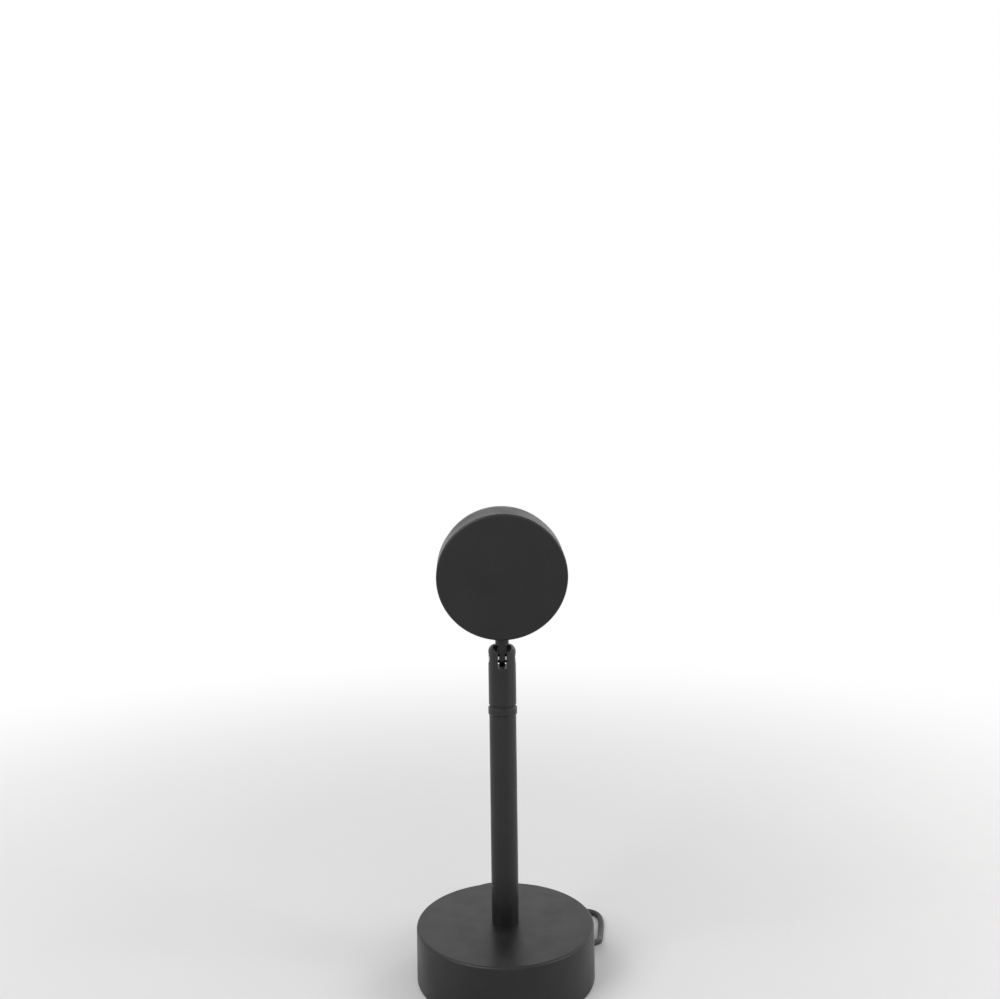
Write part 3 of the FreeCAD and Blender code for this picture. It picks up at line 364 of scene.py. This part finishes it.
def white_reflector():
    return worn_surface(
        "reflector_white",
        cloud=110.0,
        colours=[(0.8, 0.79, 0.76), (0.9, 0.89, 0.86), (0.68, 0.66, 0.62)],
        wear=0.2 * MM,
        gloss=(500.0, 3.0, 0.3, 0.42),
        grain=(1200.0, 3.0, 0.02 * MM, 0.4),
    )


def phosphor():
    s = Surface("led_phosphor")
    s.colour(s.noise(1400.0), (0.9, 0.62, 0.08), (0.98, 0.76, 0.2))
    s.roughness(s.noise(2000.0), 0.3, 0.45)
    s.bump(s.noise(3000.0), 0.02 * MM, 0.5)
    s.set(Subsurface_Weight=0.1)
    return s.material


def orange_filter():
    """Coated filter: deep orange at the middle, golden towards the rim."""
    s = Surface("filter_orange")
    low, high = (Vector(corner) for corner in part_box("colour_filter"))
    reach = s.math("DIVIDE", s.distance((low + high) / 2), (high - low).x / 2)
    mottled = s.math("ADD", reach, s.math("MULTIPLY", s.noise(160.0), 0.12))
    deep, orange, golden = (0.93, 0.16, 0.02), (0.96, 0.30, 0.03), (1.0, 0.56, 0.08)
    glow = s.ramp(mottled, [(0.1, deep), (0.55, orange), (1.0, golden)])
    s.link(glow, s.shader.inputs["Base Color"])
    s.roughness(s.noise(400.0), 0.16, 0.24)
    s.bump(s.noise(900.0), 0.004 * MM, 0.3)
    s.set(Transmission_Weight=0.15, IOR=1.5, Specular_IOR_Level=0.25)
    return s.material


def lens_glass():
    s = Surface("lens_glass")
    s.colour(s.noise(60.0, 2.0), (0.93, 0.97, 0.98), (0.98, 0.99, 1.0))
    s.roughness(s.noise(300.0), 0.01, 0.03)
    s.bump(s.noise(500.0, 1.0), 0.002 * MM, 0.2)
    s.set(Transmission_Weight=1.0, IOR=1.5, Specular_IOR_Level=0.35)
    return s.material


LOOKS = {
    powder_coat: [
        "base_shell", "lower_tube", "swivel_ring", "upper_sleeve",
        "neck_stem", "head_housing", "bezel_ring",
    ],
    bright_steel: [
        "base_screws", "tube_washer", "tube_nut", "pivot_screw", "pivot_nut",
        "friction_washers", "neck_nut", "head_screws", "plug_contact",
    ],
    plain_steel: ["base_plate", "swivel_post"],
    blackened_steel: ["swivel_pin"],
    turned_aluminium: ["heat_sink"],
    cast_iron: ["base_weight"],
    black_rubber: ["foot_pad", "cord_grommet", "lens_gasket"],
    moulded_plastic: ["thrust_washer", "plug_body"],
    board_enamel: ["led_board"],
    white_reflector: ["reflector"],
    phosphor: ["led_emitter"],
    orange_filter: ["colour_filter"],
    lens_glass: ["lens"],
}


def dress_nodes():
    """Gives each node its material; its shape and place stay as they come."""
    for make, nodes in LOOKS.items():
        material = make()
        for name in nodes:
            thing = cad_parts[name]
            thing.data.materials.clear()
            thing.data.materials.append(material)


# ---------------------------------------------------------------- cord

CORD_RADIUS = 1.75 * MM
CORD_ORDER = 3
CORD_STEPS = 8                  # of the curve between two points, and of its round section
FULL_TURN_DEG = 360.0
EXIT_DEG = 17.0                 # direction of the exit, seen from above
EXIT_RADIUS = 48.9 * MM
EXIT_HEIGHT = 7.5 * MM
LEAD_STRAIGHT = 9.6 * MM        # straight out of the exit
LEAD_DROP = Vector((58.5, 29.5, 3.2)) * MM      # almost down on the table
LEAD_ON_TABLE_MM = [
    (60.4, 40.5),
    (62.6, 51.5),
    (62.9, 60.8),
    (59.5, 66.6),
    (53.5, 68.4),
    (45.5, 74.2),
    (35.5, 84.7),
    (25.0, 95.1),
]
COIL_PITCH = 4.1 * MM
COIL_OUTER = 25.5 * MM
COIL_CENTRE_Y = 78.5 * MM
COIL_START_DEG = 80.0
COIL_IN_DEG = FULL_TURN_DEG * 3.5
COIL_REVERSAL_DEG = 180.0
COIL_OUT_DEG = 1180.0
COIL_STEP_DEG = 15.0
COIL_RUN_IN = 14.0 * MM         # straight before the coil
COIL_RUN_OUT = 10.5 * MM        # straight after it
TAIL_RISE = Vector((-20.6, 60.4, 8.9)) * MM     # up from the coil towards the plug
TAIL_END_X = -13.0 * MM         # here the cord is already in line with the plug
PLUG_AXIS_Y = 58.2 * MM
PLUG_START_X = -6.0 * MM
PLUG_HEIGHT = 7.0 * MM
PLUG_GAP = 0.05 * MM            # between the plug and the coil below it
RELIEF_LENGTH = 8.0 * MM
RELIEF_ROOT = 3.1 * MM          # radius at the plug
RELIEF_TIP = 2.3 * MM           # radius at the cord


def coil_point(turned):
    """The coil's centre line: in on the table, up at the reversal, out on top."""
    inner = COIL_OUTER - COIL_PITCH * COIL_IN_DEG / FULL_TURN_DEG
    if turned <= COIL_IN_DEG:
        radius = COIL_OUTER - COIL_PITCH * turned / FULL_TURN_DEG
        height = CORD_RADIUS
    elif turned < COIL_IN_DEG + COIL_REVERSAL_DEG:
        past = (turned - COIL_IN_DEG) / COIL_REVERSAL_DEG
        radius = inner - COIL_PITCH / 2 * past * (1 - past)
        height = CORD_RADIUS + COIL_PITCH * past * past * (3 - 2 * past)
    else:
        radius = inner + COIL_PITCH * (turned - COIL_IN_DEG - COIL_REVERSAL_DEG) / FULL_TURN_DEG
        height = CORD_RADIUS + COIL_PITCH
    angle = math.radians(COIL_START_DEG + turned)
    return Vector((radius * math.cos(angle), COIL_CENTRE_Y + radius * math.sin(angle), height))


def cord_route():
    """The points of the cord's centre line, from inside the drum's wall to the plug."""
    exit_angle = math.radians(EXIT_DEG)
    out = Vector((math.cos(exit_angle), math.sin(exit_angle), 0.0))
    start = out * EXIT_RADIUS + Vector((0, 0, EXIT_HEIGHT))

    total = COIL_IN_DEG + COIL_REVERSAL_DEG + COIL_OUT_DEG
    steps = round(total / COIL_STEP_DEG)
    coil = [coil_point(total * i / steps) for i in range(steps + 1)]
    way_in = (coil[1] - coil[0]).normalized()
    way_out = (coil[-1] - coil[-2]).normalized()

    lead = [start, start + out * LEAD_STRAIGHT, LEAD_DROP]
    lead += [Vector((x * MM, y * MM, CORD_RADIUS)) for x, y in LEAD_ON_TABLE_MM]
    lead.append(coil[0] - way_in * COIL_RUN_IN)

    coil_top = CORD_RADIUS + COIL_PITCH + CORD_RADIUS
    plug_height = coil_top + PLUG_GAP + PLUG_HEIGHT / 2
    tail = [
        coil[-1] + way_out * COIL_RUN_OUT,
        TAIL_RISE,
        Vector((TAIL_END_X, PLUG_AXIS_Y, plug_height)),
        Vector((PLUG_START_X, PLUG_AXIS_Y, plug_height)),
    ]
    return lead + coil + tail


def make_cord(plug_pieces):
    """The power cord, from the drum to its plug, as one round curve."""
    points = cord_route()
    data = bpy.data.curves.new("power_cord", "CURVE")
    data.dimensions = "3D"
    data.bevel_depth = CORD_RADIUS
    data.bevel_resolution = CORD_STEPS
    data.use_fill_caps = True
    spline = data.splines.new("NURBS")
    spline.points.add(len(points) - 1)
    for target, point in zip(spline.points, points):
        target.co = (*point, 1.0)
    spline.order_u = CORD_ORDER
    spline.use_endpoint_u = True
    spline.resolution_u = CORD_STEPS
    cord = bpy.data.objects.new("power_cord", data)
    bpy.context.scene.collection.objects.link(cord)
    data.materials.append(cord_jacket())
    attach(cord, "stand")
    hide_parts("cord_lead", "cord_coil", "cord_tail")


# ---------------------------------------------------------------- plug detail

SMOOTH_DEG = 35.0               # edges that bend less are shaded smooth
ROUND_STEPS = 3                 # of a rounded edge
SHELL_WALL = 0.35 * MM
SHELL_CORNER = 0.55 * MM
TONGUE_THICK = 1.9 * MM
TONGUE_SET_BACK = 0.6 * MM
TONGUE_CORNER = 0.15 * MM
WINDOW_SIDE = 2.2 * MM
WINDOW_SPREAD = 2.9 * MM        # from the plug's axis
WINDOW_FROM_TIP = 6.2 * MM
STRIP_SPREADS = (-3.5 * MM, -1.0 * MM, 1.0 * MM, 3.5 * MM)
STRIP_WIDTH = 1.1 * MM
STRIP_LENGTH = 7.5 * MM
STRIP_SET_BACK = 0.8 * MM       # behind the tip of the tongue
STRIP_PROUD = 0.12 * MM
STRIP_SUNK = 0.05 * MM
RIDGES = 6
RIDGE_PITCH = 1.7 * MM
RIDGE_PROUD = 0.3 * MM
RIDGE_HALF_WIDTH = 0.45 * MM
RIDGE_HALF_HEIGHT = 2.0 * MM
RIDGE_CORNER = 0.25 * MM
BEADS = 4
BEAD_RADIUS = 0.42 * MM
BEAD_SUNK = 0.1 * MM
BEAD_PLACE = 0.8                # of each bead within its share of the relief
BEAD_STEPS = 8                  # round the bead's own section
BEAD_SIDES = 32                 # round the relief


def new_piece(name, mesh, material):
    """A finished mesh as a piece that rides on the stand."""
    piece = bpy.data.objects.new(name, mesh)
    bpy.context.scene.collection.objects.link(piece)
    mesh.materials.append(material)
    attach(piece, "stand")
    return piece


def smooth_by_angle(mesh):
    """Shades the mesh smooth, apart from its sharp edges."""
    mesh.shade_smooth()
    mesh.set_sharp_from_angle(angle=math.radians(SMOOTH_DEG))


def solid_box(bm, low, high, soft=0.0):
    """Adds a box between two corners, its edges rounded by soft."""
    low, high = Vector(low), Vector(high)
    made = bmesh.ops.create_cube(bm, size=1.0)["verts"]
    for vertex in made:
        for axis in range(3):
            vertex.co[axis] = low[axis] if vertex.co[axis] < 0 else high[axis]
    if soft:
        edges = list({edge for vertex in made for edge in vertex.link_edges})
        bmesh.ops.bevel(
            bm, geom=edges, offset=soft, segments=ROUND_STEPS, profile=0.5, affect="EDGES"
        )


def finished(bm, name):
    """The bmesh as a mesh with outward faces and smooth shading; frees the bmesh."""
    mesh = bpy.data.meshes.new(name)
    bmesh.ops.recalc_face_normals(bm, faces=bm.faces)
    bm.to_mesh(mesh)
    bm.free()
    smooth_by_angle(mesh)
    return mesh


def cut(body, *tools):
    """The body's mesh with the tools cut out of it; removes the body and the tools."""
    for tool in tools:
        knife = body.modifiers.new("cut", "BOOLEAN")
        knife.operation = "DIFFERENCE"
        knife.solver = "EXACT"
        knife.object = tool
    bpy.context.view_layer.update()
    depsgraph = bpy.context.evaluated_depsgraph_get()
    mesh = bpy.data.meshes.new_from_object(body.evaluated_get(depsgraph))
    for thing in (body, *tools):
        bpy.data.objects.remove(thing)
    return mesh


def scratch(name, low, high, soft=0.0):
    """A box that is only there to be cut, or to cut with."""
    bm = bmesh.new()
    solid_box(bm, low, high, soft)
    thing = bpy.data.objects.new(name, finished(bm, name))
    bpy.context.scene.collection.objects.link(thing)
    return thing


def make_shell(low, high):
    """Folded shell of the plug, open at its tip, with two windows in its top and two below."""
    middle = (low + high) / 2
    body = scratch("shell_body", low, high, SHELL_CORNER)
    inner_low = low + Vector((SHELL_WALL, SHELL_WALL, SHELL_WALL))
    inner_high = high + Vector((MM, -SHELL_WALL, -SHELL_WALL))
    hollow = scratch("shell_hollow", inner_low, inner_high)
    windows = []
    for side in (-1, 1):
        centre = Vector((high.x - WINDOW_FROM_TIP, middle.y + side * WINDOW_SPREAD, middle.z))
        reach = Vector((WINDOW_SIDE / 2, WINDOW_SIDE / 2, high.z - low.z))
        windows.append(scratch("shell_window", centre - reach, centre + reach))
    shell = cut(body, hollow, *windows)
    smooth_by_angle(shell)
    return shell


def make_contact():
    """The plug's shell, its insulating tongue, and four gilt strips under the tongue."""
    low, high = (Vector(corner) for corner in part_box("plug_contact"))
    shell = make_shell(low, high)

    roof = high.z - SHELL_WALL
    face = roof - TONGUE_THICK
    tip = high.x - TONGUE_SET_BACK
    bm = bmesh.new()
    solid_box(
        bm,
        (low.x + SHELL_WALL, low.y + SHELL_WALL, face),
        (tip, high.y - SHELL_WALL, roof),
        TONGUE_CORNER,
    )
    tongue = finished(bm, "plug_tongue")

    start = tip - STRIP_LENGTH - STRIP_SET_BACK
    bm = bmesh.new()
    for spread in STRIP_SPREADS:
        middle_y = (low.y + high.y) / 2 + spread
        solid_box(
            bm,
            (start, middle_y - STRIP_WIDTH / 2, face - STRIP_PROUD),
            (start + STRIP_LENGTH, middle_y + STRIP_WIDTH / 2, face + STRIP_SUNK),
        )
    strips = finished(bm, "plug_strips")

    pieces = [
        new_piece("plug_shell", shell, bright_steel()),
        new_piece("plug_tongue", tongue, moulded_plastic()),
        new_piece("plug_strips", strips, gold_plate()),
    ]
    for piece in pieces:
        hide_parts("plug_contact")
    return pieces


def add_bead(bm, x, radius, middle):
    """Adds a ring round the plug's axis, its section centred at x and radius."""
    rings = []
    for j in range(BEAD_STEPS):
        a = 2 * math.pi * j / BEAD_STEPS
        out = radius + BEAD_RADIUS * math.cos(a)
        ring = []
        for k in range(BEAD_SIDES):
            b = 2 * math.pi * k / BEAD_SIDES
            across = middle.y + out * math.cos(b)
            above = middle.z + out * math.sin(b)
            ring.append(bm.verts.new((x + BEAD_RADIUS * math.sin(a), across, above)))
        rings.append(ring)
    for j, ring in enumerate(rings):
        after = rings[(j + 1) % BEAD_STEPS]
        for k in range(BEAD_SIDES):
            beside = (k + 1) % BEAD_SIDES
            bm.faces.new((ring[k], ring[beside], after[beside], after[k]))


def make_grip():
    """Finger ridges on the plug's narrow sides, and the beads of its flexible relief."""
    low, high = (Vector(corner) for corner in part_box("plug_body"))
    middle = (low + high) / 2
    centre = (PLUG_START_X + RELIEF_LENGTH + high.x) / 2
    bm = bmesh.new()
    for side in (low.y, high.y):
        for i in range(RIDGES):
            x = centre + (i - (RIDGES - 1) / 2) * RIDGE_PITCH
            solid_box(
                bm,
                (x - RIDGE_HALF_WIDTH, side - RIDGE_PROUD, middle.z - RIDGE_HALF_HEIGHT),
                (x + RIDGE_HALF_WIDTH, side + RIDGE_PROUD, middle.z + RIDGE_HALF_HEIGHT),
                RIDGE_CORNER,
            )
    ridges = finished(bm, "plug_ridges")

    bm = bmesh.new()
    for i in range(BEADS):
        past = (i + BEAD_PLACE) / BEADS
        radius = RELIEF_TIP + (RELIEF_ROOT - RELIEF_TIP) * past - BEAD_SUNK
        add_bead(bm, PLUG_START_X + RELIEF_LENGTH * past, radius, middle)
    beads = finished(bm, "plug_beads")

    plastic = moulded_plastic()
    return [
        new_piece("plug_ridges", ridges, plastic),
        new_piece("plug_beads", beads, plastic),
    ]


# ---------------------------------------------------------------- stage and light

FLOOR_HALF = 6.0
FADE_START = 0.1                # from here outwards the table top turns white
FADE_END = 1.0
WHITE = (1.0, 1.0, 1.0)
WORLD_COLOUR = (0.97, 0.98, 1.0)
WORLD_STRENGTH = 0.5
LIGHTS_AIM = (0.0, 0.0, 0.13)   # the middle of the lamp
LIGHTS = {
    # name: (place, size, power, colour)
    "key": ((-0.9, -0.7, 1.1), (0.9, 0.9), 10.5, WHITE),
    "fill": ((1.0, -0.35, 0.6), (0.35, 1.1), 4.5, WHITE),
    "rim": ((1.0, 0.9, 0.7), (0.5, 0.9), 2.5, (1.0, 0.97, 0.93)),
}


def seen_rays(tree):
    """1 for rays of the camera, and for those that a surface mirrors or lets through."""
    rays = tree.nodes.new("ShaderNodeLightPath")
    total = rays.outputs["Is Camera Ray"]
    for kind in ("Is Glossy Ray", "Is Transmission Ray"):
        either = tree.nodes.new("ShaderNodeMath")
        either.operation = "MAXIMUM"
        tree.links.new(total, either.inputs[0])
        tree.links.new(rays.outputs[kind], either.inputs[1])
        total = either.outputs["Value"]
    return total


def studio_top():
    """Pale table top with the lamp's shadow, turning plain white away from the lamp."""
    s = Surface("studio_top")
    s.colour(s.noise(3.0), (0.79, 0.787, 0.78), (0.81, 0.807, 0.80))
    s.roughness(s.noise(60.0), 0.6, 0.7)
    s.bump(s.noise(900.0), 0.02 * MM, 0.2)
    away = s.math("DIVIDE", s.distance((0.0, 0.0, 0.0)), FADE_END)
    fade = s.ramp(away, [(FADE_START / FADE_END, 0.0), (1.0, 1.0)], "EASE")
    white = s.tree.nodes.new("ShaderNodeEmission")
    white.inputs["Color"].default_value = (*WHITE, 1.0)
    blend = s.tree.nodes.new("ShaderNodeMixShader")
    s.link(s.math("MULTIPLY", seen_rays(s.tree), fade), blend.inputs["Fac"])
    s.link(s.shader.outputs["BSDF"], blend.inputs[1])
    s.link(white.outputs["Emission"], blend.inputs[2])
    s.link(blend.outputs["Shader"], s.tree.nodes["Material Output"].inputs["Surface"])
    return s.material


def make_stage():
    """The table top that the lamp stands on."""
    mesh = bpy.data.meshes.new("studio_floor")
    signs = ((-1, -1), (1, -1), (1, 1), (-1, 1))
    corners = [(x * FLOOR_HALF, y * FLOOR_HALF, 0.0) for x, y in signs]
    mesh.from_pydata(corners, [], [(0, 1, 2, 3)])
    floor = bpy.data.objects.new("studio_floor", mesh)
    bpy.context.scene.collection.objects.link(floor)
    mesh.materials.append(studio_top())


def area_light(name, place, size, power, colour):
    """A rectangular light at this place, turned to the middle of the lamp."""
    data = bpy.data.lights.new(name, "AREA")
    data.shape = "RECTANGLE"
    data.size, data.size_y = size
    data.energy = power
    data.color = colour
    light = bpy.data.objects.new(name, data)
    bpy.context.scene.collection.objects.link(light)
    light.location = place
    way = Vector(LIGHTS_AIM) - Vector(place)
    light.rotation_euler = way.to_track_quat("-Z", "Y").to_euler()


def make_world():
    """An even grey-white light that is plain white where it is seen, mirrored or looked through."""
    world = bpy.data.worlds.new("studio")
    bpy.context.scene.world = world
    world.use_nodes = True
    tree = world.node_tree
    lit = tree.nodes["Background"]
    lit.inputs["Color"].default_value = (*WORLD_COLOUR, 1.0)
    lit.inputs["Strength"].default_value = WORLD_STRENGTH
    seen = tree.nodes.new("ShaderNodeBackground")
    seen.inputs["Color"].default_value = (*WHITE, 1.0)
    seen.inputs["Strength"].default_value = 1.0
    blend = tree.nodes.new("ShaderNodeMixShader")
    tree.links.new(seen_rays(tree), blend.inputs["Fac"])
    tree.links.new(lit.outputs["Background"], blend.inputs[1])
    tree.links.new(seen.outputs["Background"], blend.inputs[2])
    tree.links.new(blend.outputs["Shader"], tree.nodes["World Output"].inputs["Surface"])


def make_light():
    """Key, fill and rim light, as in the table above."""
    for name, light in LIGHTS.items():
        area_light(name, *light)


make_camera()
dress_nodes()
make_cord(make_contact() + make_grip())
make_stage()
make_world()
make_light()

bpy.context.scene.view_settings.view_transform = "Standard"
